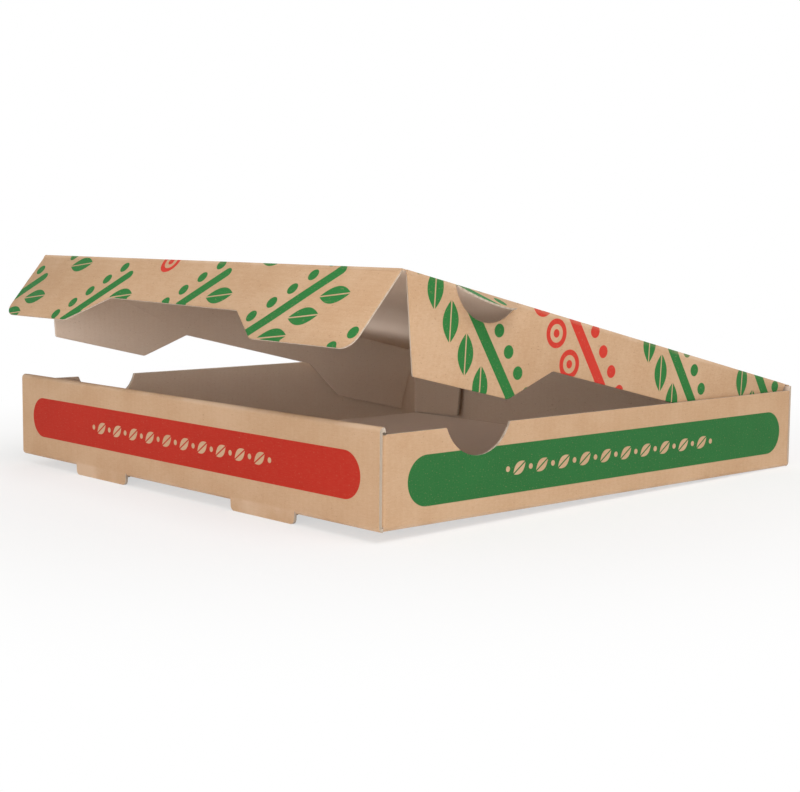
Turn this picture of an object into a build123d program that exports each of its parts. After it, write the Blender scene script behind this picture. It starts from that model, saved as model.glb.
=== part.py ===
# A pizza box folded from one die-cut sheet of corrugated board, standing with its lid ajar.
# Millimetres. X runs along the front wall, Y from front to back, Z up.
# The origin is the centre of the floor's underside.

import os
from math import cos, pi, radians, sin, sqrt, tan

from build123d import *

# The board and its folds
board = 1.5               # thickness of the corrugated board
fold_radius = 0.6         # inside radius of a fold in the tray
layer_gap = 0.2           # between folded layers that lie on each other
cut_gap = 0.3             # clearance on each side of a die cut

# Hinge scores, where the board is crushed to a thin skin on its outer face
score_bead = 0.3          # radius of the rounded skin that lies on the hinge axis
score_gap = 0.6           # between that bead and the edge of the panel it turns against
score_slope = 22.0        # slope of the crushed band on the inner face, in degrees

# Tray
tray_width = 300.0        # outside, along the front wall
tray_length = 300.0       # outside, front to back
side_height = 41.5
front_height = 44.6
hinge_height = 43.75      # axis of the lid's crease on the rear wall
notch_chord = 39.6        # half-round notch in the top edge of each side wall
notch_depth = 13.6
notch_from_front = 58.5
foot_spacing = 138.0      # between the middles of the two feet under the front wall
foot_width = 47.5
foot_taper = 1.8
foot_drop = 4.7           # reach below the floor's underside
foot_round = 2.5
lock_inset = 3.0          # lock tab shorter than the foot's slot, at each end
lock_reach = 1.2          # reach of a lock tab below the floor's underside
front_flap_length = 58.0  # trapped corner flap, from the side wall's outer face
rear_flap_length = 48.5   # loose corner flap along the rear wall
rear_flap_lean = 4.0      # springs back from the rear wall by this angle
corner_flap_bottom = 2.9
corner_flap_top = 40.0
corner_flap_round = 4.0

# Lid and its flaps
lid_open = 13.1           # lid angle above shut, in degrees
lid_side_clearance = 0.5  # lid flaps to the inside of the side walls
lid_front_clearance = 1.3 # tucked front flap to the inside of the front wall
flap_floor_clearance = 0.6
recess_depth = 25.5       # depth of each flap between its two ears
vent_chord = 40.0         # half-moon vent at the crease of each side flap
vent_rise = 13.6
tab_droop = 30.0          # half-moon tab, below the plane of the lid
side_front_gap = 2.5      # side flap's crease stops short of the front crease
side_front_inset = 14.9   # its front edge slants back to here at the bottom
side_rear_gap = 4.5
side_rear_inset = 9.0
side_ear = 57.5           # length of an ear along its lower edge
side_slant = 26.8         # run of the slanted edge between ear and recess
side_round = 3.0
front_flare = 28.0        # front flap, outwards from square to the lid
front_side_gap = 0.6
front_taper = 3.0         # each end of the front flap, narrower at the bottom
front_ear = 62.0
front_slant = 28.0
front_round = 6.0

half_width = tray_width / 2
half_length = tray_length / 2
outer_radius = fold_radius + board
mid_radius = fold_radius + board / 2
wall_x = half_width - board / 2
front_stack = 3 * board + 2 * layer_gap
outer_wall_y = board / 2 - half_length
inner_wall_y = outer_wall_y + front_stack - board
corner_fold_y = half_length - board - layer_gap - board / 2
side_reach = corner_fold_y - mid_radius
inner_half_width = half_width - board - cut_gap
foot_x = foot_spacing / 2
slot_depth = foot_drop + 2 * outer_radius - mid_radius * pi / 2
notch_y = notch_from_front - half_length

skin = 2 * score_bead
panel_edge = score_bead + score_gap
flap_band = (board - skin) / tan(radians(score_slope))
panel_band = (board - score_bead) / tan(radians(score_slope))
hinge_y = half_length - score_bead
lid_half = half_width - board - lid_side_clearance - score_bead
lid_length = tray_length - front_stack - lid_front_clearance - skin
flap_depth = hinge_height - board - flap_floor_clearance
vent_from_hinge = hinge_y - notch_y

# The lid's own frame: its Y runs towards the hinge and its Z is the outer face's normal.
lid_normal = Vector(0, sin(radians(lid_open)), cos(radians(lid_open)))
lid_back = Vector(0, cos(radians(lid_open)), -sin(radians(lid_open)))
lid_frame = Plane((0, hinge_y, hinge_height), x_dir=(1, 0, 0), z_dir=lid_normal)


def arc_radius(chord, rise):
    return (chord**2 / 4 + rise**2) / (2 * rise)


# A corner flap seen from above: a stretch of side wall, a fold and a leg with a rounded free end.
# end is -1 at the front and 1 at the rear, side is -1 at the left and 1 at the right.
def corner_flap(side, end, length, lean):
    fold = Vector(side * wall_x, end * corner_fold_y)
    along = Vector(-side * cos(radians(lean)), -end * sin(radians(lean)))
    with BuildPart() as flap:
        with BuildSketch(Plane.XY.offset(corner_flap_bottom)):
            with BuildLine():
                FilletPolyline(
                    (fold.X, end * (side_reach - board)),
                    fold,
                    fold + along * (length - board / 2),
                    radius=mid_radius,
                )
            trace(line_width=board)
        extrude(amount=corner_flap_top - corner_flap_bottom)
        free_end = flap.faces().sort_by(Axis.X)[0 if side > 0 else -1]
        fillet(free_end.edges().sort_by(Edge.length)[:2], radius=corner_flap_round)
    return flap.part


corner_flaps = []
for side in (-1, 1):
    corner_flaps.append(corner_flap(side, -1, front_flap_length, 0))
    corner_flaps.append(corner_flap(side, 1, rear_flap_length, rear_flap_lean))

with BuildPart() as tray:
    # Roll-over front wall: up the outside, over the top and down the inside
    with BuildSketch(Plane.YZ):
        with BuildLine():
            FilletPolyline(
                (outer_wall_y, outer_radius),
                (outer_wall_y, front_height - board / 2),
                (inner_wall_y, front_height - board / 2),
                (inner_wall_y, board + cut_gap),
                radius=min(mid_radius, (front_stack - board) * 0.45),
            )
        trace(line_width=board)
    extrude(amount=half_width, both=True)
    # The inner layer is cut narrower, to stand between the side walls
    for side in (-1, 1):
        with BuildSketch(Plane.YZ.offset(side * inner_half_width)):
            with Locations((outer_wall_y + board, 0)):
                Rectangle(front_stack, side_height + cut_gap, align=(Align.MIN, Align.MIN))
        extrude(amount=side * tray_width, mode=Mode.SUBTRACT)
    # Floor, and the folds from it to the front and rear walls
    with BuildSketch():
        Rectangle(tray_width - 2 * outer_radius, tray_length - 2 * outer_radius)
    extrude(amount=board)
    for end in (-1, 1):
        wall_y = end * (half_length - board / 2)
        with BuildSketch(Plane.YZ):
            with BuildLine():
                Line((wall_y, 2 * outer_radius), (wall_y, outer_radius))
                JernArc((wall_y, outer_radius), (0, -1), mid_radius, -90 * end)
            trace(line_width=board)
        extrude(amount=half_width, both=True)
    # Side walls: their folds run the length of the floor, the walls stop at the corner folds
    for top, reach in (
        (corner_flap_bottom, half_length - outer_radius - cut_gap),
        (side_height, side_reach),
    ):
        with BuildSketch(Plane.XZ):
            with BuildLine():
                FilletPolyline(
                    (-wall_x, top), (-wall_x, board / 2), (wall_x, board / 2), (wall_x, top),
                    radius=mid_radius,
                )
            trace(line_width=board)
        extrude(amount=reach, both=True)
    # Rear wall, crushed to a rounded skin at the lid's crease
    with BuildSketch(Plane.YZ):
        with BuildLine():
            Polyline(
                (half_length - skin, hinge_height),
                (half_length - board, hinge_height - flap_band),
                (half_length - board, outer_radius),
                (half_length, outer_radius),
                (half_length, hinge_height),
            )
            ThreePointArc(
                (half_length, hinge_height),
                (hinge_y, hinge_height + score_bead),
                (half_length - skin, hinge_height),
            )
        make_face()
    extrude(amount=half_width, both=True)
    for flap in corner_flaps:
        add(flap)
    # Half-round notches through both side walls
    notch_radius = arc_radius(notch_chord, notch_depth)
    with BuildSketch(Plane.YZ):
        with Locations((notch_y, side_height + notch_radius - notch_depth)):
            Circle(notch_radius)
    extrude(amount=tray_width, both=True, mode=Mode.SUBTRACT)
    # Slots that the feet are cut from, then the feet and the lock tabs that fill the slots
    with BuildSketch():
        with Locations((-foot_x, -half_length), (foot_x, -half_length)):
            Rectangle(foot_width + 2 * cut_gap, 2 * slot_depth)
    extrude(amount=outer_radius, mode=Mode.SUBTRACT)
    with BuildSketch(Plane.XZ.offset(half_length)) as feet:
        for middle in (-foot_x, foot_x):
            with BuildLine():
                Polyline(
                    (middle - foot_width / 2, 2 * outer_radius),
                    (middle - foot_width / 2, 0),
                    (middle - foot_width / 2 + foot_taper, -foot_drop),
                    (middle + foot_width / 2 - foot_taper, -foot_drop),
                    (middle + foot_width / 2, 0),
                    (middle + foot_width / 2, 2 * outer_radius),
                    close=True,
                )
            make_face()
        fillet(feet.vertices().group_by(Axis.Y)[0], radius=foot_round)
    extrude(amount=-board)
    lock_top = board + 2 * cut_gap + outer_radius
    with BuildSketch(Plane.XZ.offset(-inner_wall_y)):
        with Locations((-foot_x, lock_top), (foot_x, lock_top)):
            Rectangle(foot_width - 2 * lock_inset, lock_top + lock_reach, align=(Align.CENTER, Align.MAX))
    extrude(amount=board / 2, both=True)

with BuildPart() as lid_panel:
    # The panel stops short of its four creases, with its inner edges crushed to a thin skin
    with BuildSketch(lid_frame.offset(score_bead)):
        with Locations((0, -lid_length / 2)):
            Rectangle(2 * (lid_half - panel_edge), lid_length - 2 * panel_edge)
    extrude(amount=-board)
    inner_face = lid_panel.faces().sort_by(Axis(lid_frame.origin, lid_normal))[0]
    chamfer(inner_face.edges(), panel_band, board - score_bead, reference=inner_face)
    # Half-moon tabs stay on the panel where the side flaps' vents are cut, and droop
    # They are a little narrower than the vents, to clear the vents' edges through the board
    vent_radius = arc_radius(vent_chord, vent_rise)
    tab_half = sqrt(vent_radius**2 - (vent_radius - vent_rise + board) ** 2) - cut_gap
    for side in (-1, 1):
        tab_root = lid_frame.from_local_coords((side * lid_half, -vent_from_hinge, 0))
        outward = Vector(side * cos(radians(tab_droop)), 0, 0) - lid_normal * sin(radians(tab_droop))
        upward = Vector(side * sin(radians(tab_droop)), 0, 0) + lid_normal * cos(radians(tab_droop))
        with BuildSketch(Plane(tab_root, x_dir=(side, 0, 0), z_dir=lid_normal).offset(score_bead)):
            Rectangle(panel_edge + panel_band, 2 * tab_half, align=(Align.MAX, Align.CENTER))
        extrude(amount=-skin)
        with BuildSketch(Plane(tab_root, x_dir=(1, 0, 0), z_dir=lid_back)):
            Circle(score_bead)
        extrude(amount=tab_half, both=True)
        with BuildSketch(Plane(tab_root, x_dir=outward, z_dir=upward).offset(score_bead)):
            with BuildLine():
                Line((0, tab_half), (0, -tab_half))
                ThreePointArc((0, -tab_half), (vent_rise - cut_gap, 0), (0, tab_half))
            make_face()
        extrude(amount=-board)


# A flap on a scored crease. The crease plane has X along the crease, Y up to it and Z outwards.
# The outline is drawn in that plane, and reaches above the crease's bead.
def scored_flap(crease, outline):
    section = Plane(crease.origin, x_dir=crease.y_dir, z_dir=crease.x_dir)
    with BuildPart() as flap:
        with BuildSketch(section):
            with BuildLine():
                Polyline(
                    (0, score_bead),
                    (-2 * flap_depth, score_bead),
                    (-2 * flap_depth, score_bead - board),
                    (-flap_band, score_bead - board),
                    (0, -score_bead),
                )
                ThreePointArc((0, -score_bead), (score_bead, 0), (0, score_bead))
            make_face()
        extrude(amount=tray_length, both=True)
        with BuildSketch(crease):
            add(outline)
        extrude(amount=2 * board, both=True, mode=Mode.INTERSECT)
    return flap.part


# The side flaps, with a slanted front edge, two ears, a recess between them and the vent.
# along is the way that the crease plane's X leaves the hinge.
def side_outline(along):
    front_bottom = lid_length - side_front_inset
    ear_end = side_rear_inset + side_ear
    corners = [
        (side_rear_gap, skin, 0),
        (side_rear_gap, 0, 0),
        (side_rear_inset, -flap_depth, side_round),
        (ear_end, -flap_depth, side_round),
        (ear_end + side_slant, -recess_depth, side_round),
        (front_bottom - side_ear - side_slant, -recess_depth, side_round),
        (front_bottom - side_ear, -flap_depth, side_round),
        (front_bottom, -flap_depth, side_round),
        (lid_length - side_front_gap, 0, 0),
        (lid_length - side_front_gap, skin, 0),
    ]
    with BuildSketch() as outline:
        with BuildLine():
            FilletPolyline(
                [(along * v, y) for v, y, _ in corners],
                radius=[corner[2] for corner in corners],
                close=True,
            )
        make_face()
        vent = along * vent_from_hinge
        with BuildLine():
            Polyline(
                (vent - vent_chord / 2, 0),
                (vent - vent_chord / 2, 2 * skin),
                (vent + vent_chord / 2, 2 * skin),
                (vent + vent_chord / 2, 0),
            )
            ThreePointArc((vent + vent_chord / 2, 0), (vent, -vent_rise), (vent - vent_chord / 2, 0))
        make_face(mode=Mode.SUBTRACT)
    return outline.sketch


right_crease = Plane(lid_frame.from_local_coords((lid_half, 0, 0)), x_dir=lid_back, z_dir=(1, 0, 0))
left_crease = Plane(lid_frame.from_local_coords((-lid_half, 0, 0)), x_dir=-lid_back, z_dir=(-1, 0, 0))
right_flap = scored_flap(right_crease, side_outline(-1))
left_flap = scored_flap(left_crease, side_outline(1))

# The front flap, flared outwards, with rounded ends
front_half = lid_half - front_side_gap
front_bottom_half = front_half - front_taper
front_corners = [
    (front_half, skin, 0),
    (front_half, 0, 0),
    (front_bottom_half, -flap_depth, front_round),
    (front_bottom_half - front_ear, -flap_depth, front_round),
    (front_bottom_half - front_ear - front_slant, -recess_depth, front_round),
]
with BuildSketch() as front_outline:
    with BuildLine():
        FilletPolyline(
            [(x, y) for x, y, _ in front_corners] + [(-x, y) for x, y, _ in reversed(front_corners)],
            radius=[c[2] for c in front_corners] + [c[2] for c in reversed(front_corners)],
            close=True,
        )
    make_face()
flare = radians(front_flare)
front_crease = Plane(
    lid_frame.from_local_coords((0, -lid_length, 0)),
    x_dir=(1, 0, 0),
    z_dir=-lid_back * cos(flare) + lid_normal * sin(flare),
)
front_flap = scored_flap(front_crease, front_outline.sketch)

os.makedirs("parts", exist_ok=True)
nodes = {
    "tray": tray.part,
    "lid_panel": lid_panel.part,
    "front_flap": front_flap,
    "left_flap": left_flap,
    "right_flap": right_flap,
}
for name, node in nodes.items():
    node.label = name
    export_step(node, f"parts/{name}.step")
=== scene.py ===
import math

import bmesh
import bpy
from mathutils import Matrix, Vector


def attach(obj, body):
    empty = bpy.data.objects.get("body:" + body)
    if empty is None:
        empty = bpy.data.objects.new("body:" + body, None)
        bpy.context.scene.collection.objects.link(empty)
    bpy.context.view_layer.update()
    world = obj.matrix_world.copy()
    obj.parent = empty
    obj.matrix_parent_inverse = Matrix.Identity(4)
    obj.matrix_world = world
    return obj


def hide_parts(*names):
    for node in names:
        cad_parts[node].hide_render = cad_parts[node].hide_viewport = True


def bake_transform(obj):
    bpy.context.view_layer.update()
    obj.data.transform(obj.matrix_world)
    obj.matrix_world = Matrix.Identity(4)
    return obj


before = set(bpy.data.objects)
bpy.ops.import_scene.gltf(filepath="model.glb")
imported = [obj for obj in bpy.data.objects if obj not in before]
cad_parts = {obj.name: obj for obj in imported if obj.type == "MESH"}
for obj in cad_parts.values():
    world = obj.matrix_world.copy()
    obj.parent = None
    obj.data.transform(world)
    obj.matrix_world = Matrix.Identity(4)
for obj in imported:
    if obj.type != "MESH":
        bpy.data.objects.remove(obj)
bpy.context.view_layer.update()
print("frame loaded:", ", ".join(sorted(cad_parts)))

mm = 0.001                       # the scene is in metres, the sizes below are in millimetres
hair = 0.02                      # places closer than this count as the same
outerSide, innerSide, cutSide = 0, 1, 2          # material slots of every card piece

card = {
    "thickness": 1.5,
    "flutePitch": 3.3,
    "fold": 2.1,                 # outside radius of a fold in the tray
    "foldSteps": 6,
    "bead": 0.3,                 # outside radius of a crease that works as a hinge
    "crushed": 0.6,              # thickness of the card along such a crease
    "score": 2.2,                # width of the slope on the inner face down to such a crease
    "pressed": 0.55,             # how far a die-cut edge is pressed in from each side
    "punchLength": 10, "punchSides": 128,
    "smooth": 32,                # degrees up to which a bend is shaded smooth
}


# materials, all of them made from a piece's own coordinates

def colour(text):                # "#rrggbb" as the linear colour that a socket takes
    parts = [int(text[i:i + 2], 16) / 255 for i in (1, 3, 5)]
    return tuple(c / 12.92 if c <= 0.04045 else ((c + 0.055) / 1.055) ** 2.4 for c in parts) + (1,)


class Wire:                      # one value, vector or colour on its way through a material
    def __init__(self, tree, socket=None):
        self.tree, self.socket = tree, socket

    def make(self, kind, settings=None, inlets=None, outlet=0):
        node = self.tree.nodes.new(kind)
        for key, value in (settings or {}).items():
            setattr(node, key, value)
        for key, value in (inlets or {}).items():
            if isinstance(value, Wire):
                self.tree.links.new(value.socket, node.inputs[key])
            else:
                node.inputs[key].default_value = value
        return Wire(self.tree, node.outputs[outlet])

    def math(self, operation, *others):
        return self.make("ShaderNodeMath", {"operation": operation}, dict(enumerate((self,) + others)))

    def __add__(self, other): return self.math("ADD", other)
    def __radd__(self, other): return self.math("ADD", other)
    def __sub__(self, other): return self.math("SUBTRACT", other)
    def __rsub__(self, other): return (self * -1).math("ADD", other)
    def __mul__(self, other): return self.math("MULTIPLY", other)
    def __rmul__(self, other): return self.math("MULTIPLY", other)
    def __truediv__(self, other): return self.math("DIVIDE", other)
    def __mod__(self, other): return self.math("FLOORED_MODULO", other)
    def __abs__(self): return self.math("ABSOLUTE")
    def __gt__(self, other): return self.math("GREATER_THAN", other)
    def __lt__(self, other): return self.math("LESS_THAN", other)
    def __or__(self, other): return self.math("MAXIMUM", other)      # either shape
    def __and__(self, other): return self.math("MINIMUM", other)     # both shapes

    def fade(self, low, high, start=0.0, end=1.0):
        return self.make("ShaderNodeMapRange", {"interpolation_type": "SMOOTHSTEP"},
                         {"Value": self, "From Min": low, "From Max": high, "To Min": start, "To Max": end})

    def blendTo(self, other, share, how="MIX"):                      # colours
        return self.make("ShaderNodeMix", {"data_type": "RGBA", "blend_type": how},
                         {0: share, 6: self, 7: other}, 2)


def mixed(first, second, share):                  # two fixed colours, in a share that varies
    return share.make("ShaderNodeMix", {"data_type": "RGBA"},
                      {0: share, 6: colour(first), 7: colour(second)}, 2)


def along(place, direction, offset=0.0):          # millimetres from a point, in one direction
    dot = place.make("ShaderNodeVectorMath", {"operation": "DOT_PRODUCT"},
                     {0: place, 1: tuple(1000 * d for d in direction)}, "Value")
    return dot + offset


grain = {                        # stretch per metre, detail and roughness of each kind of noise
    "clouds": ((38, 38, 38), 3.0, 0.55),
    "fibres": ((260, 1500, 1500), 3.0, 0.62),
    "across": ((1400, 320, 1400), 3.0, 0.62),
    "flecks": ((700, 900, 1300), 2.0, 0.5),
    "torn": ((900, 900, 900), 3.0, 0.6),
}


def noise(place, kind):
    stretch, detail, rough = grain[kind]
    spread = place.make("ShaderNodeVectorMath", {"operation": "MULTIPLY"}, {0: place, 1: stretch})
    return place.make("ShaderNodeTexNoise", {"noise_dimensions": "3D"},
                      {"Vector": spread, "Scale": 1.0, "Detail": detail, "Roughness": rough})


def flutes(run):
    return (run * (2 * math.pi / card["flutePitch"])).math("SINE")


kraftFinish = {                  # flutes: how much they show, relief: depth of the bump in millimetres
    "base": "#c9a684", "light": "#d3b293", "dark": "#b98f69", "fleck": "#94704f", "rubbed": "#dcc0a4",
    "red": "#b92d1e", "lidRed": "#cc3a2e", "green": "#296d37", "lidGreen": "#2b7639",
    "flutes": 0.14, "cloudy": 0.45, "roughness": 0.78, "inkGloss": 0.08, "relief": 0.12,
}
linerFinish = {
    "base": "#ead6c3", "light": "#efdfcf", "dark": "#dec5b0", "fleck": "#b39983",
    "flutes": 0.1, "cloudy": 0.2, "roughness": 0.85, "relief": 0.12,
    "sheen": 1.0, "sheenSpread": 0.45, "sheenTint": "#f6e3d3",
}
# shade: the painted shade in the flute hollows of a cut edge
cutFinish = {"paper": "#c6b7a6", "shade": "#9c8771", "roughness": 0.9, "relief": 0.3}
dullness = {"bump": 0.5, "specular": 0.15}        # the same for all three


def newMaterial(name):
    material = bpy.data.materials.new(name)
    material.use_nodes = True
    shader = material.node_tree.nodes["Principled BSDF"]
    place = Wire(material.node_tree).make("ShaderNodeTexCoord", outlet="Object")
    return material, shader, place


def connect(shader, finish, skin, rough, height):
    bump = height.make("ShaderNodeBump", {}, {
        "Strength": dullness["bump"], "Distance": finish["relief"] * mm, "Height": height})
    for inlet, wire in (("Base Color", skin), ("Roughness", rough), ("Normal", bump)):
        height.tree.links.new(wire.socket, shader.inputs[inlet])
    shader.inputs["Specular IOR Level"].default_value = dullness["specular"]


def paper(place, finish, run):   # bare paper: clouds, fibres, flecks and the flutes showing through
    clouds, fibres = noise(place, "clouds"), noise(place, "fibres")
    across, flecks = noise(place, "across"), noise(place, "flecks")
    wave = flutes(run)
    tone = (clouds - 0.5) * finish["cloudy"] + fibres * 0.3 + across * 0.3 + wave * 0.012 + 0.25
    skin = mixed(finish["dark"], finish["light"], tone.fade(0.38, 0.72))
    skin = skin.blendTo(colour(finish["base"]), 0.55)
    skin = skin.blendTo(colour(finish["fleck"]), flecks.fade(0.66, 0.76) * 0.55)
    skin = skin.blendTo(colour(finish["light"]), flecks.fade(0.33, 0.25) * 0.6)
    height = fibres * 0.25 + across * 0.2 + wave * finish["flutes"]
    return skin, height, clouds, fibres, flecks


def printKraft(shader, place, run, folds, mask, ink):
    skin, height, clouds, fibres, flecks = paper(place, kraftFinish, run)
    worn = folds * clouds.fade(0.38, 0.66, 0.1, 0.6)      # folds wear pale, here more and there less
    skin = skin.blendTo(colour(kraftFinish["rubbed"]), worn)
    cover = mask * (0.97 + fibres.fade(0.3, 0.6) * 0.03)  # ink is thinner where the paper is rough or worn
    cover = cover * (1 - flecks.fade(0.62, 0.74) * 0.22) * (1 - worn * 0.35)
    shade = ink.blendTo(skin, clouds.fade(0.35, 0.75, 0.0, 0.1), "MULTIPLY")
    rough = kraftFinish["roughness"] - mask * kraftFinish["inkGloss"]
    connect(shader, kraftFinish, skin.blendTo(shade, cover), rough, height)


inkLine = {"soft": 0.12, "leafRib": 0.35}         # half-widths of an ink edge and of the bare rib in a leaf


def inside(distance):                             # a distance as an ink mask
    return distance.fade(inkLine["soft"], -inkLine["soft"])


def pill(a, b, halfLength, halfWidth):            # distance outside a bar with round ends
    beyond = (abs(a) - (halfLength - halfWidth)) | 0.0
    return (beyond * beyond + b * b).math("SQRT") - halfWidth


def leafRow(a, b, pitch, length, width, lean):    # a row of leaves along a, each one leaning
    step = a % pitch - pitch / 2
    turned = step * math.cos(lean) + b * math.sin(lean)
    aside = abs(b * math.cos(lean) - step * math.sin(lean))
    reach = turned / (length / 2)
    return (aside - (1 - reach * reach) * (width / 2)) | (inkLine["leafRib"] - aside)


def dotRow(a, b, pitch, radius):
    step = a % pitch - pitch / 2
    return (step * step + b * b).math("SQRT") - radius


trayPrint = {                                     # pill-shaped bands, measured on the walls
    "front": {"from": -137.9, "to": 137.8, "bottom": 11.6, "top": 33.0},
    "side": {"from": -134.0, "to": 138.6, "bottom": 8.5, "top": 31.0},
    "pitch": 15.0, "rowHalf": 77.5,               # the row of leaves and dots in a band
    "leafLength": 9.6, "leafWidth": 5.4, "leafLean": 0.6, "dotRadius": 1.3,
    "wallFrom": 149.3, "endWallTo": 149.95,
    "wornTop": (42.2, 44.2), "wornBottom": (2.4, 0.6), "wornEdge": (145.5, 148.5),
}


def band(a, z, size):
    p = trayPrint
    a, z = a - (size["from"] + size["to"]) / 2, z - (size["bottom"] + size["top"]) / 2
    field = inside(pill(a, z, (size["to"] - size["from"]) / 2, (size["top"] - size["bottom"]) / 2))
    row = inside(abs(a) - p["rowHalf"])
    leaves = inside(leafRow(a, z, p["pitch"], p["leafLength"], p["leafWidth"], p["leafLean"]))
    dots = inside(dotRow(a + p["pitch"] / 2, z, p["pitch"], p["dotRadius"]))
    return field * (1 - row * (leaves | dots))


def trayOutside():
    p = trayPrint
    material, shader, place = newMaterial("kraftTray")
    x, y, z = (along(place, axis) for axis in ((1, 0, 0), (0, 1, 0), (0, 0, 1)))
    endWall = (abs(y) > p["wallFrom"]) * (abs(x) < p["endWallTo"])
    sideWall = (abs(x) > p["wallFrom"]) * (1 - endWall)
    mask = band(x, z, p["front"]) * endWall | band(y, z, p["side"]) * sideWall
    folds = (z.fade(*p["wornTop"]) | z.fade(*p["wornBottom"])) * (abs(x) | abs(y)).fade(*p["wornEdge"])
    printKraft(shader, place, x + y, folds, mask, mixed(kraftFinish["green"], kraftFinish["red"], endWall))
    return material


lidPrint = {                     # diagonal groups: a bar between dots and leaves, or rings in the red ones
    "spacing": 53.7, "shift": 4.3, "rowLength": 120.0,
    "barHalf": 52.0, "barAt": -4.5, "barHalfWidth": 2.9,
    "leafAt": 9.0, "leafPitch": 17.4, "leafLength": 19.0, "leafWidth": 9.6, "leafLean": 0.62, "leafRun": 3,
    "ringRadius": 5.6, "ringHalfWidth": 1.3, "ringDot": 2.0,
    "dotAt": -14.0, "dotPitch": 11.6, "dotRadius": 3.1, "dotRun": 4.5,
    "redEvery": 7, "redStep": 3, "redFrom": 4,
    "worn": (2.0, 0.3),
}


# flatPlace gives u, to the right on the flat sheet, and v, from the hinge to the front
def lidOutside(name, flatPlace):
    p = lidPrint
    material, shader, place = newMaterial(name)
    u, v = flatPlace(place)
    c = (u + v) * math.sqrt(0.5) + p["shift"]
    group = (c / p["spacing"]).math("FLOOR")
    c = c - (group + 0.5) * p["spacing"]
    s = (u - v) * math.sqrt(0.5) + (1 - group % 2) * (p["rowLength"] / 2)    # every other group is set on
    row = (s / p["rowLength"]).math("FLOOR")
    s = s - (row + 0.5) * p["rowLength"]
    isRed = abs((group + row * p["redStep"]) % p["redEvery"] - p["redFrom"]) < 0.5
    bar = inside(pill(s, c - p["barAt"], p["barHalf"], p["barHalfWidth"]))
    leafAside = c - p["leafAt"]
    leaves = inside(leafRow(s, leafAside, p["leafPitch"], p["leafLength"], p["leafWidth"], p["leafLean"]))
    fromMiddle = dotRow(s, leafAside, p["leafPitch"], 0.0)
    rings = inside(abs(fromMiddle - p["ringRadius"]) - p["ringHalfWidth"])
    rings = rings | inside(fromMiddle - p["ringDot"])
    leafEnds = inside(abs(s) - p["leafPitch"] * p["leafRun"])
    dots = inside(dotRow(s + p["dotPitch"] / 2, c - p["dotAt"], p["dotPitch"], p["dotRadius"]))
    dotEnds = inside(abs(s) - p["dotPitch"] * p["dotRun"])
    mask = bar | dots * dotEnds | (leaves * (1 - isRed) + rings * isRed) * leafEnds
    folds = (abs(abs(u) - lid["half"]) & abs(v - lid["length"]) & abs(v)).fade(*p["worn"])
    printKraft(shader, place, v, folds, mask, mixed(kraftFinish["lidGreen"], kraftFinish["lidRed"], isRed))
    return material


def linerInside():
    material, shader, place = newMaterial("greyLiner")
    run = along(place, (1, 0, 0)) + along(place, (0, 1, 0))
    skin, height, clouds = paper(place, linerFinish, run)[:3]
    connect(shader, linerFinish, skin, linerFinish["roughness"] + clouds * 0.08, height)
    shader.inputs["Sheen Weight"].default_value = linerFinish["sheen"]       # fibres shine at low angles
    shader.inputs["Sheen Roughness"].default_value = linerFinish["sheenSpread"]
    shader.inputs["Sheen Tint"].default_value = colour(linerFinish["sheenTint"])
    return material


def cutEdge():
    material, shader, place = newMaterial("flutedEdge")
    run = along(place, (1, 0, 0)) + along(place, (0, 1, 0))
    torn = noise(place, "torn")
    # the flute hollows, with some random tearing, are painted darker in the shade colour: painted shade;
    # the same mask also sinks them in the bump
    hollowShade = (flutes(run) * 0.5 + torn * 0.9).fade(0.35, 0.95)
    skin = mixed(cutFinish["paper"], cutFinish["shade"], hollowShade * 0.4)
    connect(shader, cutFinish, skin, cutFinish["roughness"] - torn * 0.1, torn * 0.4 - hollowShade)
    return material


# modelling with card: a sheet is drawn, folded by spinning its edges, and then given its thickness

def clearSelection():
    bpy.ops.object.select_all(action="DESELECT")


def activate(piece):
    clearSelection()
    piece.select_set(True)
    bpy.context.view_layer.objects.active = piece


def addSheet(name, width, depth, middle, turn=(0, 0, 0)):      # left in edit mode
    clearSelection()
    bpy.ops.mesh.primitive_plane_add(size=1)
    sheet = bpy.context.object
    sheet.name = name
    sheet.scale = (width * mm, depth * mm, 1)
    sheet.rotation_euler = turn
    sheet.location = Vector(middle) * mm
    bpy.ops.object.transform_apply(location=True, rotation=True, scale=True)
    bpy.ops.object.mode_set(mode="EDIT")
    return sheet


# picks what has every corner, and its middle, pass a test on places in millimetres
def pick(kind, test):
    bpy.ops.mesh.select_mode(type=kind)
    bpy.ops.mesh.select_all(action="DESELECT")
    mesh = bpy.context.object.data
    shape = bmesh.from_edit_mesh(mesh)
    if kind == "VERT":
        for corner in shape.verts:
            corner.select_set(test(corner.co / mm))
    else:
        for part in (shape.edges if kind == "EDGE" else shape.faces):
            spots = [corner.co / mm for corner in part.verts]
            spots.append(sum(spots, Vector()) / len(spots))
            part.select_set(all(test(spot) for spot in spots))
    bmesh.update_edit_mesh(mesh)


def near(a, b):
    return abs(a - b) < hair


def cutAcross(at, normal, dropOuter=False):
    bpy.ops.mesh.select_all(action="SELECT")
    bpy.ops.mesh.bisect(plane_co=Vector(at) * mm, plane_no=Vector(normal).normalized(),
                        clear_outer=dropOuter)


# bends the picked edges round an axis; spin itself turns clockwise
def fold(centre, axis, degrees, steps=card["foldSteps"]):
    bpy.ops.mesh.spin(steps=steps, angle=math.radians(-degrees), center=Vector(centre) * mm, axis=axis)


def grow(move):
    bpy.ops.mesh.extrude_edges_move(TRANSFORM_OT_translate={"value": Vector(move) * mm})


def shift(move):
    bpy.ops.transform.translate(value=Vector(move) * mm)


def roundCorners(test, size, segments=5):
    pick("VERT", test)
    bpy.ops.mesh.bevel(offset=size * mm, segments=segments, affect="VERTICES", clamp_overlap=True)


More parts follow.
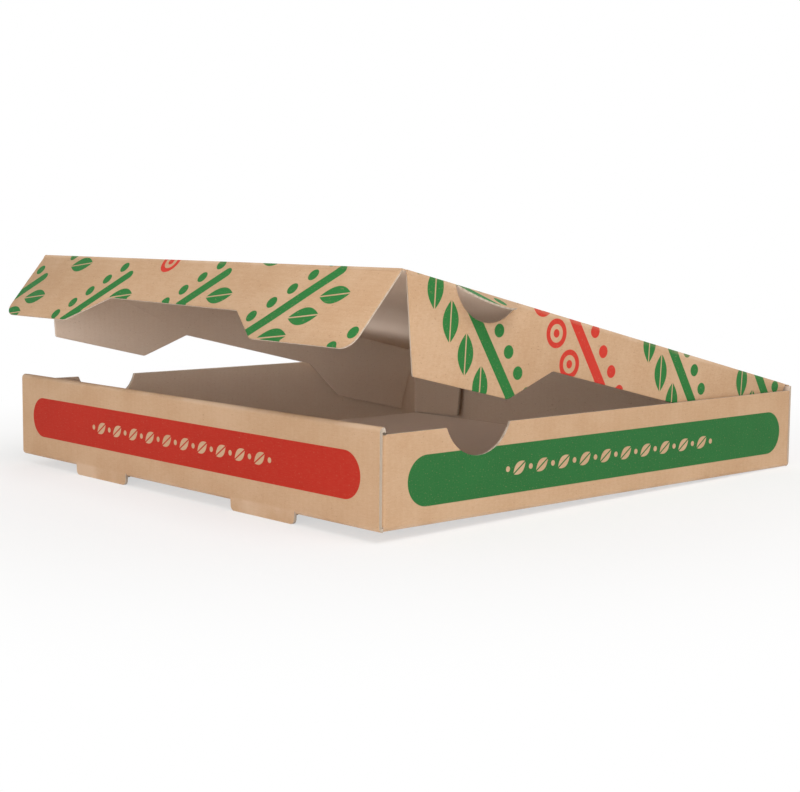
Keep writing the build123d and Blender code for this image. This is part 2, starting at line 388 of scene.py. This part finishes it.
def faceOut(sheet, where, out):  # all faces one way, the one nearest to where looking out
    bpy.ops.mesh.select_all(action="SELECT")
    bpy.ops.mesh.remove_doubles(threshold=0.01 * mm)
    bpy.ops.mesh.normals_make_consistent(inside=False)
    shape = bmesh.from_edit_mesh(sheet.data)
    nearest = min(shape.faces, key=lambda f: (f.calc_center_median() - Vector(where) * mm).length)
    if nearest.normal.dot(Vector(out)) < 0:
        bpy.ops.mesh.flip_normals()
    bpy.ops.object.mode_set(mode="OBJECT")


# the thickness goes towards the liner, and the rim gets a finish of its own
def thicken(sheet, outside, thickness=card["thickness"], rim=cutSide):
    activate(sheet)
    for material in (outside, liner, fluted):
        sheet.data.materials.append(material)
    layer = sheet.modifiers.new("thickness", "SOLIDIFY")
    layer.thickness = thickness * mm
    layer.offset = -1
    layer.use_even_offset = True
    layer.material_offset = innerSide
    layer.material_offset_rim = rim
    bpy.ops.object.modifier_apply(modifier=layer.name)


# the cutting die thins the card along its edges
def pressEdges(sheet, test=lambda p: True, faces=(outerSide, innerSide)):
    activate(sheet)
    bpy.ops.object.mode_set(mode="EDIT")
    bpy.ops.mesh.select_mode(type="EDGE")
    for face in faces:
        bpy.ops.mesh.select_all(action="DESELECT")
        shape = bmesh.from_edit_mesh(sheet.data)
        for edge in shape.edges:
            meeting = {side.material_index for side in edge.link_faces}
            wanted = all(test(corner.co / mm) for corner in edge.verts)
            edge.select_set(meeting == {face, cutSide} and wanted)
        bmesh.update_edit_mesh(sheet.data)
        bpy.ops.mesh.bevel(offset=card["pressed"] * mm, segments=2, affect="EDGES", clamp_overlap=False,
                           material=face)
    bpy.ops.mesh.select_all(action="SELECT")
    bpy.ops.mesh.remove_doubles(threshold=0.005 * mm)
    bpy.ops.object.mode_set(mode="OBJECT")


# thins the inner face towards the crease along the top edge
def scoreTop(sheet, top, depthIn):
    for corner in sheet.data.vertices:
        below = top - corner.co.z / mm
        allowed = card["crushed"] + (card["thickness"] - card["crushed"]) * max(below, 0) / card["score"]
        inwards, depth = depthIn(corner.co / mm)
        if below < card["score"] and depth > allowed:
            corner.co += inwards * (allowed - depth) * mm


def arcRadius(chord, rise):
    return (chord ** 2 / 4 + rise ** 2) / (2 * rise)


def cutRound(sheet, centre, radius):              # a round cut along X
    clearSelection()
    bpy.ops.mesh.primitive_cylinder_add(vertices=card["punchSides"], radius=radius * mm,
                                        depth=card["punchLength"] * mm, location=Vector(centre) * mm,
                                        rotation=(0, math.pi / 2, 0))
    punch = bpy.context.object
    for material in sheet.data.materials:
        punch.data.materials.append(material)
    punch.data.polygons.foreach_set("material_index", [cutSide] * len(punch.data.polygons))
    activate(sheet)
    cut = sheet.modifiers.new("cut", "BOOLEAN")
    cut.object, cut.operation, cut.solver, cut.material_mode = punch, "DIFFERENCE", "EXACT", "INDEX"
    bpy.ops.object.modifier_apply(modifier=cut.name)
    bpy.data.objects.remove(punch)


def putAt(piece, matrix):
    activate(piece)
    piece.matrix_world = matrix
    bpy.ops.object.transform_apply(location=True, rotation=True, scale=True)


def soften(piece, degrees=card["smooth"]):
    activate(piece)
    bpy.ops.object.shade_smooth_by_angle(angle=math.radians(degrees))


liner, fluted = linerInside(), cutEdge()
kraftTray = trayOutside()
print("materials for the tray made")

tray = {
    "half": 150.0, "sideHeight": 41.5, "frontHeight": 44.6, "rearHeight": 43.75, "rearGap": 0.1,
    "sideReach": 146.2, "foldReach": 147.6, "rearHalf": 149.2,
    "innerFace": -145.1, "innerHalf": 148.2, "innerBottom": 1.8,
    "footAt": 69.0, "footDrop": 4.7, "footTaper": 0.5, "footRound": 2.2,
    "slotHalf": 24.05, "slotDepth": 6.78, "lockHalf": 20.75, "lockReach": 1.2,
    "flapBottom": 2.3, "flapTop": 41.2, "frontFlap": 58.0, "rearFlap": 50.6, "rearLean": 5.0,
    "flapRound": {-1: 4.0, 1: 1.2}, "flapTaper": (3.2, 1.8),         # front and rear; back and up
    "notchAt": {1: -91.5, -1: -93.3}, "notchChord": {1: 39.6, -1: 38.0}, "notchDepth": 13.6,
    "bow": 5.5, "bowDip": 1.1, "bowSteps": 16, "bowSkew": 0.6, "bowInset": 5.0,
    "pinch": 0.55, "pinchDrop": 1.2, "pinchRise": 0.7,
}
trayFlat = tray["half"] - card["fold"]            # where the floor begins to bend
rollTop = tray["frontHeight"] - card["fold"]      # where the front wall begins to roll over


def bothEnds(half):              # of the right and the left one of a pair at the feet
    return [side * (tray["footAt"] + end * half) for side in (-1, 1) for end in (-1, 1)]


def inSlot(x, margin=hair):
    return abs(abs(x) - tray["footAt"]) < tray["slotHalf"] + margin


def makeFrontWall():
    t, r = tray, card["fold"]
    slotEnds = bothEnds(t["slotHalf"])
    front = addSheet("frontWall", 2 * t["half"], rollTop - r, (0, -t["half"], (rollTop + r) / 2),
                     (math.pi / 2, 0, 0))
    for x in slotEnds:
        cutAcross((x, 0, 0), (1, 0, 0))
    pick("EDGE", lambda p: near(p.z, r) and inSlot(p.x))                   # feet
    grow((0, 0, -r - t["footDrop"]))
    for x in slotEnds:
        inwards = 1 if abs(x) < t["footAt"] else -1
        pick("VERT", lambda p: near(p.z, -t["footDrop"]) and near(p.x, x))
        shift((math.copysign(t["footTaper"], x * inwards), 0, 0))
    roundCorners(lambda p: near(p.z, -t["footDrop"]), t["footRound"])
    for x in bothEnds(t["lockHalf"]) + [-trayFlat, trayFlat, -t["innerHalf"], t["innerHalf"]]:
        cutAcross((x, 0, 0), (1, 0, 0))
    pick("EDGE", lambda p: near(p.z, r) and not inSlot(p.x, -hair))        # the rest goes on into the floor
    fold((0, -trayFlat, r), (1, 0, 0), 90)
    pick("EDGE", lambda p: near(p.z, rollTop) and near(p.y, -t["half"]))   # over the top
    fold((0, -trayFlat, rollTop), (1, 0, 0), -90)
    grow((0, t["innerFace"] - r + trayFlat, 0))
    fold((0, t["innerFace"] - r, rollTop), (1, 0, 0), -90)
    pick("EDGE", lambda p: near(p.z, rollTop) and near(p.y, t["innerFace"])
         and abs(p.x) < t["innerHalf"] + hair)                             # down again
    grow((0, 0, t["innerBottom"] - rollTop))
    pick("EDGE", lambda p: near(p.z, t["innerBottom"]) and near(p.y, t["innerFace"])
         and abs(abs(p.x) - t["footAt"]) < t["lockHalf"] + hair)           # lock tabs
    grow((0, 0, -t["innerBottom"] - t["lockReach"]))
    bpy.ops.object.mode_set(mode="OBJECT")
    return front


def foldCornerFlap(side, end):   # off the upright edge of a side wall, its free end cut at a slant
    t = tray
    lean = t["rearLean"] if end > 0 else 0.0
    length = (t["rearFlap"] if end > 0 else t["frontFlap"]) - card["fold"]
    turn = math.radians(lean)
    back, up = t["flapTaper"]

    def freeEnd(p, slack=0.0):
        return 0 < side * p.x < t["half"] - length + slack and end * p.y > 0

    pick("EDGE", lambda p: near(p.x, side * t["half"]) and near(p.y, end * t["sideReach"])
         and t["flapBottom"] - hair < p.z < t["flapTop"] + hair)
    fold((side * trayFlat, end * t["sideReach"], 0), (0, 0, 1), side * end * (90 + lean))
    grow((-side * length * math.cos(turn), -end * length * math.sin(turn), 0))
    pick("VERT", lambda p: freeEnd(p) and near(p.z, t["flapBottom"]))
    shift((side * back, end * back * math.tan(turn), up))
    roundCorners(lambda p: freeEnd(p, back) and p.z > t["flapBottom"] - hair, t["flapRound"][end])


def makeFloorAndWalls():
    t, r = tray, card["fold"]
    slotRear = t["slotDepth"] - t["half"]
    body = addSheet("trayCard", 2 * trayFlat, 2 * trayFlat, (0, 0, 0))
    for x in bothEnds(t["slotHalf"]):
        cutAcross((x, 0, 0), (1, 0, 0))
    cutAcross((0, slotRear, 0), (0, 1, 0))
    for y in (t["sideReach"], t["foldReach"]):
        cutAcross((0, y, 0), (0, 1, 0))
        cutAcross((0, -y, 0), (0, 1, 0))
    for k in range(1, t["bowSteps"]):
        cutAcross((0, t["sideReach"] * (2 * k / t["bowSteps"] - 1), 0), (0, 1, 0))
    pick("FACE", lambda p: inSlot(p.x) and p.y < slotRear + hair)
    bpy.ops.mesh.delete(type="FACE")
    for side in (-1, 1):
        pick("EDGE", lambda p: near(p.x, side * trayFlat) and abs(p.y) < t["foldReach"] + hair)
        fold((side * trayFlat, 0, r), (0, 1, 0), -90 * side)
        grow((0, 0, t["flapBottom"] - r))
        pick("EDGE", lambda p: near(p.z, t["flapBottom"]) and near(p.x, side * t["half"])
             and abs(p.y) < t["sideReach"] + hair)
        grow((0, 0, t["flapTop"] - t["flapBottom"]))
        grow((0, 0, t["sideHeight"] - t["flapTop"]))
        for end in (-1, 1):
            foldCornerFlap(side, end)
    pick("EDGE", lambda p: near(p.y, trayFlat) and near(p.z, 0))
    fold((0, trayFlat, r), (1, 0, 0), 90)
    grow((0, 0, t["rearHeight"] - r - t["rearGap"]))
    for side in (-1, 1):         # the rear wall is as wide as the tray, the floor stops at its folds
        pick("EDGE", lambda p: near(p.x, side * trayFlat) and p.y > trayFlat - hair and p.z >= 0)
        grow((side * (t["rearHalf"] - trayFlat), 0, 0))
    bpy.ops.object.mode_set(mode="OBJECT")
    return body


def onNotch(p, side):
    t = tray
    return (side * p.x > trayFlat and abs(p.y - t["notchAt"][side]) < t["notchChord"][side] / 2 + hair
            and p.z > t["sideHeight"] - t["notchDepth"] - hair)


def wearTray(body):
    t, thick = tray, card["thickness"]
    for corner in body.data.vertices:              # the ends of the rolled front are pinched together
        x, y, z = corner.co / mm
        if abs(x) > t["half"] - hair and y < t["innerFace"] + hair and z > rollTop - hair:
            within = y + t["half"] - thick
            if within > -hair:
                corner.co.y -= within * (1 - t["pinch"]) * mm
            if within > -hair and y < t["innerFace"] - thick + hair and z < rollTop + t["pinchRise"]:
                corner.co.z = rollTop * mm
            if y > t["innerFace"] - thick - hair and z < rollTop + hair:
                corner.co.z = (rollTop - t["pinchDrop"]) * mm
    for corner in body.data.vertices:              # the left wall bows outwards, most of all at its notch
        x, y, z = corner.co / mm
        if x < t["bowInset"] - t["half"] and z > 0 and abs(y) < t["sideReach"]:
            share = ((y + t["sideReach"]) / (2 * t["sideReach"])) ** t["bowSkew"]
            corner.co.x -= t["bow"] * mm * math.sin(math.pi * share) * z / t["sideHeight"]
            corner.co.z -= t["bowDip"] * mm * math.sin(math.pi * share) * z / t["sideHeight"]


def makeTray():
    t = tray
    front, body = makeFrontWall(), makeFloorAndWalls()
    activate(body)
    front.select_set(True)
    bpy.ops.object.join()
    bpy.ops.object.mode_set(mode="EDIT")
    faceOut(body, (0, 0, 0), (0, 0, -1))
    thicken(body, kraftTray)
    for side in (-1, 1):
        radius = arcRadius(t["notchChord"][side], t["notchDepth"])
        middle = t["sideHeight"] + radius - t["notchDepth"]
        cutRound(body, (side * t["half"], t["notchAt"][side], middle), radius)
    pressEdges(body, lambda p: p.y > trayFlat + hair and near(abs(p.x), t["rearHalf"]), (outerSide,))
    pressEdges(body, lambda p: abs(p.x) > trayFlat and abs(p.y) < t["sideReach"] + hair
               and (near(p.z, t["sideHeight"]) or onNotch(p, -1) or onNotch(p, 1)), (innerSide,))
    wearTray(body)
    soften(body)
    return body


trayCard = makeTray()
print("tray folded:", len(trayCard.data.polygons), "faces")

# the lid is modelled shut and flat round its hinge axis, then opened
lid = {
    "open": 13.1, "hinge": (0, 149.7, 43.75), "half": 147.7, "length": 293.2, "edge": 0.5, "groove": 3.0,
    "flapDepth": 41.65, "recess": 25.5,
    "ventAt": 241.2, "ventChord": 40.0, "ventRise": 12.3,
    "tabHalf": 19.04, "tabRise": 12.0, "tabDroop": 25.0, "tabSteps": 4, "tabLeg": 1.4, "tabThickness": 0.8,
}
opened = Matrix.Translation(Vector(lid["hinge"]) * mm) @ Matrix.Rotation(math.radians(-lid["open"]), 4, "X")
lidUp = opened.to_3x3() @ Vector((0, 0, 1))
lidFront = opened.to_3x3() @ Vector((0, -1, 0))
toRight = Vector((1, 0, 0))
hingePoint = Vector(lid["hinge"])


# millimetres along a direction from a point on the sheet
def runFrom(place, direction, origin=hingePoint, start=0.0):
    return along(place, direction, start - direction.dot(origin))


lidKraft = lidOutside("kraftLid", lambda place: (runFrom(place, toRight), runFrom(place, lidFront)))


def makeTab(side):               # a half-moon that stays on the panel
    bead = card["bead"]
    radius = arcRadius(2 * lid["tabHalf"], lid["tabRise"])
    clearSelection()
    bpy.ops.mesh.primitive_circle_add(vertices=card["punchSides"], radius=radius * mm, fill_type="NGON",
                                      location=(side * (lid["tabRise"] - radius) * mm, 0, bead * mm))
    tab = bpy.context.object
    tab.name = "tab"
    bpy.ops.object.transform_apply(location=True)
    bpy.ops.object.mode_set(mode="EDIT")
    cutAcross((0, 0, 0), (-side, 0, 0), dropOuter=True)
    pick("EDGE", lambda p: near(p.x, 0))
    fold((0, 0, 0), (0, 1, 0), -side * lid["tabDroop"], lid["tabSteps"])
    turn = math.radians(lid["tabDroop"])
    grow((-side * lid["tabLeg"] * math.cos(turn), 0, -lid["tabLeg"] * math.sin(turn)))
    faceOut(tab, (side * lid["tabRise"] / 2, 0, bead), (0, 0, 1))
    thicken(tab, lidKraft, lid["tabThickness"])
    putAt(tab, Matrix.Translation(Vector((side * lid["half"], -lid["ventAt"], 0)) * mm)
          @ Matrix.Rotation(side * turn, 4, "Y"))
    return tab


def makeLid():
    middle = (0, -lid["length"] / 2, card["bead"])
    panel = addSheet("lidCard", 2 * (lid["half"] - lid["edge"]), lid["length"] - 2 * lid["edge"], middle)
    faceOut(panel, middle, (0, 0, 1))
    thicken(panel, lidKraft, rim=innerSide)
    for corner in panel.data.vertices:             # scored underneath, so that the flaps can turn
        if corner.co.z < 0:
            corner.co.x -= math.copysign(lid["groove"] * mm, corner.co.x)
            corner.co.y -= math.copysign(lid["groove"] * mm, corner.co.y + lid["length"] / 2 * mm)
    tabs = [makeTab(side) for side in (-1, 1)]
    activate(panel)
    for tab in tabs:
        tab.select_set(True)
    bpy.ops.object.join()
    putAt(panel, opened)
    soften(panel)
    return panel


lidCard = makeLid()
print("lid panel made:", len(lidCard.data.polygons), "faces")

sideFlap = {
    "rearTop": 4.5, "rearBottom": 9.0, "frontTop": 290.7, "frontBottom": 276.6,
    "rearEar": 57.5, "frontEar": 60.0, "frontDepth": 43.0, "slant": 26.3, "corner": 0.9, "cornerSteps": 3,
    "tucked": {1: 0.0, -1: 2.0}, "tuckedEdge": 0.5, "splay": {1: 0.0, -1: 1.5}, "below": 0.3,
}


def makeSideFlap(name, side):
    f = sideFlap
    x = side * (lid["half"] + card["bead"])
    depth, frontDepth, recess = lid["flapDepth"], f["frontDepth"], lid["recess"]
    kraft = lidOutside("kraft" + name[0].upper() + name[1:], lambda place: (
        runFrom(place, -side * lidUp, start=side * lid["half"]), runFrom(place, lidFront)))
    length = f["frontTop"] - f["rearTop"]
    middle = (x, -(f["rearTop"] + length / 2), -recess / 2)
    flap = addSheet(name, recess, length, middle, (0, math.pi / 2, 0))
    cutAcross((0, 0, -f["below"] - card["score"]), (0, 0, 1))
    rearEar, frontEar = f["rearBottom"] + f["rearEar"], f["frontBottom"] - f["frontEar"]
    for v in (rearEar + f["slant"], frontEar - f["slant"]):
        cutAcross((0, -v, 0), (0, 1, 0))
    pick("EDGE", lambda p: near(p.z, -recess) and -p.y < rearEar + f["slant"] + hair)
    grow((0, 0, recess - depth))
    pick("EDGE", lambda p: near(p.z, -recess) and -p.y > frontEar - f["slant"] - hair)
    grow((0, 0, recess - frontDepth))
    pick("VERT", lambda p: near(p.z, -depth) and near(-p.y, rearEar + f["slant"]))
    shift((0, f["slant"], 0))
    pick("VERT", lambda p: near(p.z, -frontDepth) and near(-p.y, frontEar - f["slant"]))
    shift((0, -f["slant"], 0))
    rearLean, frontLean = f["rearBottom"] - f["rearTop"], f["frontTop"] - f["frontBottom"]
    cutAcross((0, -f["rearTop"], 0), (0, depth, -rearLean), dropOuter=True)
    cutAcross((0, -f["frontTop"], 0), (0, -frontDepth, -frontLean), dropOuter=True)
    pick("VERT", lambda p: near(p.z, 0))           # room under the crease for the flap to turn
    shift((0, 0, -f["below"]))
    roundCorners(lambda p: near(p.z, -depth) or near(p.z, -frontDepth), f["corner"], f["cornerSteps"])
    pick("VERT", lambda p: p.z < f["tuckedEdge"] - depth and -p.y < rearEar + f["slant"])
    shift((-side * f["tucked"][side], 0, 0))       # one rear ear stands off its wall
    faceOut(flap, middle, (side, 0, 0))
    for corner in flap.data.vertices:              # one flap splays outwards towards the front
        forward = max(-corner.co.y / (f["frontTop"] * mm), 0)
        corner.co.x -= side * f["splay"][side] * (corner.co.z / depth) * forward
    thicken(flap, kraft)
    radius = arcRadius(lid["ventChord"], lid["ventRise"])
    cutRound(flap, (x, -lid["ventAt"], radius - lid["ventRise"]), radius)
    pressEdges(flap)
    scoreTop(flap, -f["below"], lambda p: (Vector((-side, 0, 0)), side * (x - p.x)))
    putAt(flap, opened)
    soften(flap)
    return flap


rightFlap = makeSideFlap("rightFlapCard", 1)
leftFlap = makeSideFlap("leftFlapCard", -1)
print("side flaps made:", len(rightFlap.data.polygons), "faces each")

frontFlap = {
    "flare": 28.0, "topHalf": 147.1, "bottomHalf": 144.1, "endRound": 7.5, "endSteps": 8, "earRound": 1.2,
    "ear": {1: 68.0, -1: 62.5}, "slant": {1: 21.5, -1: 27.5}, "sag": 1.7, "twist": 2.5,
}
flared = Matrix.Rotation(math.radians(-frontFlap["flare"]), 4, "X")
flapDown = opened.to_3x3() @ (flared.to_3x3() @ Vector((0, 0, -1)))
frontCrease = opened @ Matrix.Translation((0, -lid["length"] * mm, 0))
frontPoint = frontCrease.translation / mm


def makeFrontFlap():
    f, bead = frontFlap, card["bead"]
    depth, recess = lid["flapDepth"], lid["recess"]
    kraft = lidOutside("kraftFrontFlap", lambda place: (
        runFrom(place, toRight), runFrom(place, flapDown, frontPoint, lid["length"])))
    middle = (0, -bead, -recess / 2)
    flap = addSheet("frontFlapCard", 2 * f["topHalf"], recess, middle, (math.pi / 2, 0, 0))
    cutAcross((0, 0, -card["score"]), (0, 0, 1))
    earTop = {side: f["bottomHalf"] - f["ear"][side] - f["slant"][side] for side in (-1, 1)}
    for side in (-1, 1):
        cutAcross((side * earTop[side], 0, 0), (1, 0, 0))
    for side in (-1, 1):
        pick("EDGE", lambda p: near(p.z, -recess) and side * p.x > earTop[side] - hair)
        grow((0, 0, recess - depth))
        pick("VERT", lambda p: near(p.z, -depth) and near(p.x, side * earTop[side]))
        shift((side * f["slant"][side], 0, 0))
        endLine = (side * depth, 0, f["bottomHalf"] - f["topHalf"])
        cutAcross((side * f["topHalf"], 0, 0), endLine, dropOuter=True)
    pick("VERT", lambda p: near(p.z, -recess) and near(p.x, earTop[1]))
    shift((0, 0, -f["sag"]))
    earMiddle = f["bottomHalf"] - min(f["ear"].values()) / 2
    roundCorners(lambda p: near(p.z, -depth) and abs(p.x) > earMiddle, f["endRound"], f["endSteps"])
    roundCorners(lambda p: near(p.z, -depth) and abs(p.x) < earMiddle, f["earRound"])
    faceOut(flap, middle, (0, -1, 0))
    for corner in flap.data.vertices:              # the right half hangs a little closer to the box
        share = max(corner.co.x / (f["topHalf"] * mm), 0)
        corner.co.y -= corner.co.z * share * math.tan(math.radians(f["twist"]))
    thicken(flap, kraft)
    pressEdges(flap)
    scoreTop(flap, 0, lambda p: (Vector((0, 1, 0)), p.y + bead))
    putAt(flap, frontCrease @ flared)
    soften(flap)
    return flap


frontFlapCard = makeFrontFlap()
print("front flap made:", len(frontFlapCard.data.polygons), "faces")

# creases that work as hinges: a narrow crushed strip that bends from one panel into the next
crease = {"reach": 1.6, "steps": 5, "proud": 0.02, "smooth": 60, "blendHalf": 0.35}
creasePieces = []                # strip, the two bodies that it joins, and where the blend starts and ends


# flat part towards -Y, then a bend round X and a short leg
def makeCrease(name, halfLength, degrees, matrix, outside):
    radius, reach, turn = card["bead"] + crease["proud"], crease["reach"], math.radians(degrees)
    strip = addSheet(name, 2 * halfLength, reach, (0, -reach / 2, radius))
    pick("EDGE", lambda p: near(p.y, 0))
    fold((0, 0, 0), (1, 0, 0), -degrees, crease["steps"])
    grow((0, reach * math.cos(turn), -reach * math.sin(turn)))
    faceOut(strip, (0, -reach, radius), (0, 0, 1))
    thicken(strip, outside, card["crushed"], outerSide)
    putAt(strip, matrix)
    soften(strip, crease["smooth"])
    return strip


def joinBodies(strip, first, second, middle, towardsFirst):
    half = towardsFirst * crease["blendHalf"]
    creasePieces.append((strip, first, second, middle + half, middle - half))


def frontCreasePlace(place):     # the print runs on round the bend
    ahead = runFrom(place, lidFront) & lid["length"]
    return runFrom(place, toRight), ahead + (runFrom(place, flapDown, frontPoint) | 0.0)


def sideCreasePlace(place, side):
    across = runFrom(place, side * toRight) & lid["half"]
    return (across + (runFrom(place, -lidUp) | 0.0)) * side, runFrom(place, lidFront)


def makeCreases():
    rear = makeCrease("rearCreaseCard", lid["half"], 90 - lid["open"], opened, lidKraft)
    joinBodies(rear, "lid", "tray", hingePoint, Vector((0, -1, 1)))
    front = makeCrease("frontCreaseCard", frontFlap["topHalf"], 90 - frontFlap["flare"],
                       frontCrease @ Matrix.Rotation(math.pi, 4, "Z"),
                       lidOutside("kraftFrontCrease", frontCreasePlace))
    joinBodies(front, "lid", "front_flap", frontPoint, lidUp - lidFront)
    ventRear, ventFront = (lid["ventAt"] + end * lid["ventChord"] / 2 for end in (-1, 1))
    stretches = {"Rear": (sideFlap["rearTop"], ventRear), "Front": (ventFront, sideFlap["frontTop"])}
    for side, word in ((1, "right"), (-1, "left")):
        name = "kraft" + word.capitalize() + "Crease"
        kraft = lidOutside(name, lambda place: sideCreasePlace(place, side))
        outwards = side * toRight
        turned = Matrix.Rotation(-side * math.pi / 2, 4, "Z")
        for part, (start, end) in stretches.items():
            spot = Matrix.Translation(Vector((side * lid["half"], -(start + end) / 2, 0)) * mm)
            strip = makeCrease(word + part + "CreaseCard", (end - start) / 2, 90,
                               opened @ spot @ turned, kraft)
            joinBodies(strip, "lid", word + "_flap", hingePoint + outwards * lid["half"], lidUp - outwards)


makeCreases()
print("creases made:", len(creasePieces))

# what each piece rides on; the crease strips only have their place baked in
for piece, body, node in (
    (trayCard, "tray", "tray"), (lidCard, "lid", "lid_panel"), (frontFlapCard, "front_flap", "front_flap"),
    (leftFlap, "left_flap", "left_flap"), (rightFlap, "right_flap", "right_flap"),
):
    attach(piece, body)
    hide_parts(node)
for strip, first, second, start, end in creasePieces:
    tuple(start * mm)
    tuple(end * mm)
    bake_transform(strip)

studio = {
    "floor": "#f8f6f4", "floorSize": 12, "floorRoughness": 0.9, "gap": 0.05,
    "shadowReach": 0.2, "whiteFrom": 0.42, "lift": 0.6,
    "worldLight": 0.4,
    "lamps": {                   # place and aim in metres, width and height, watts
        "keyLight": ((0.9, -0.2, 1.8), (0.0, 0.0, 0.06), (1.4, 1.4), 20.0),
        "frontFill": ((0.8, -2.0, 0.36), (0.0, 0.0, 0.07), (1.4, 0.5), 10.5),
        "cornerFill": ((1.80, -1.60, 0.06), (0.1, -0.1, 0.08), (0.8, 0.2), 8.0),
        "sideFill": ((2.2, -1.0, 0.30), (0.0, 0.0, 0.07), (1.2, 0.4), 4.0),
        "backFill": ((-1.9, 1.8, 0.9), (0.0, 0.0, 0.04), (1.4, 1.0), 14.0),
    },
}
white = (1, 1, 1, 1)


def seenRays(start):             # what the eye meets, straight, mirrored or through something clear
    kinds = ("Is Camera Ray", "Is Glossy Ray", "Is Transmission Ray")
    seen, mirrored, through = (start.make("ShaderNodeLightPath", outlet=kind) for kind in kinds)
    return seen | mirrored | through


def makeFloor():
    clearSelection()
    bpy.ops.mesh.primitive_plane_add(size=studio["floorSize"])
    floor = bpy.context.object
    floor.name = "floor"
    tilt = math.atan2(tray["footDrop"], 2 * tray["half"] - card["fold"])     # feet to rear fold
    corner = Vector((0, -tray["half"], -tray["footDrop"] - studio["gap"]))
    putAt(floor, Matrix.Translation(corner * mm) @ Matrix.Rotation(tilt, 4, "X"))
    material, shader, spot = newMaterial("paleFloor")
    shader.inputs["Base Color"].default_value = colour(studio["floor"])
    shader.inputs["Roughness"].default_value = studio["floorRoughness"]
    tree = spot.tree
    away = spot.make("ShaderNodeVectorMath", {"operation": "LENGTH"}, {0: spot}, "Value")
    fading = seenRays(spot) * away.fade(studio["shadowReach"], studio["whiteFrom"], studio["lift"], 1.0)
    glow = spot.make("ShaderNodeEmission", {}, {"Color": white, "Strength": 1.0})
    both = spot.make("ShaderNodeMixShader", {}, {0: fading, 1: Wire(tree, shader.outputs[0]), 2: glow})
    tree.links.new(both.socket, tree.nodes["Material Output"].inputs["Surface"])
    floor.data.materials.append(material)


def makeLight():
    world = bpy.data.worlds.new("studio")
    bpy.context.scene.world = world
    world.use_nodes = True
    tree = world.node_tree
    back = tree.nodes["Background"]
    back.inputs["Color"].default_value = white
    strength = seenRays(Wire(tree)) * (1 - studio["worldLight"]) + studio["worldLight"]
    tree.links.new(strength.socket, back.inputs["Strength"])
    for name, (spot, aim, size, watts) in studio["lamps"].items():
        clearSelection()
        bpy.ops.object.light_add(type="AREA", location=spot)
        lamp = bpy.context.object
        lamp.name = name
        lamp.visible_camera = False
        lamp.data.shape, lamp.data.energy = "RECTANGLE", watts
        lamp.data.size, lamp.data.size_y = size
        lamp.rotation_euler = (Vector(aim) - Vector(spot)).to_track_quat("-Z", "Y").to_euler()


camera = {
    "place": (632.37, -578.40, 127.32), "forward": (-0.73495, 0.66965, -0.10683),
    "right": (0.67274, 0.73982, 0.00922), "lens": 70.455, "sensor": 36, "clip": (0.01, 50),
}


def makeCamera():
    forward, right = Vector(camera["forward"]).normalized(), Vector(camera["right"]).normalized()
    axes = Matrix((right, right.cross(forward), -forward)).transposed().to_4x4()
    clearSelection()
    bpy.ops.object.camera_add()
    view = bpy.context.object
    view.name = "photoCamera"
    view.matrix_world = Matrix.Translation(Vector(camera["place"]) * mm) @ axes
    view.data.lens, view.data.sensor_width = camera["lens"], camera["sensor"]
    view.data.clip_start, view.data.clip_end = camera["clip"]
    bpy.context.scene.camera = view


makeFloor()
makeLight()
makeCamera()
bpy.context.scene.view_settings.view_transform = "Standard"
print("studio ready")
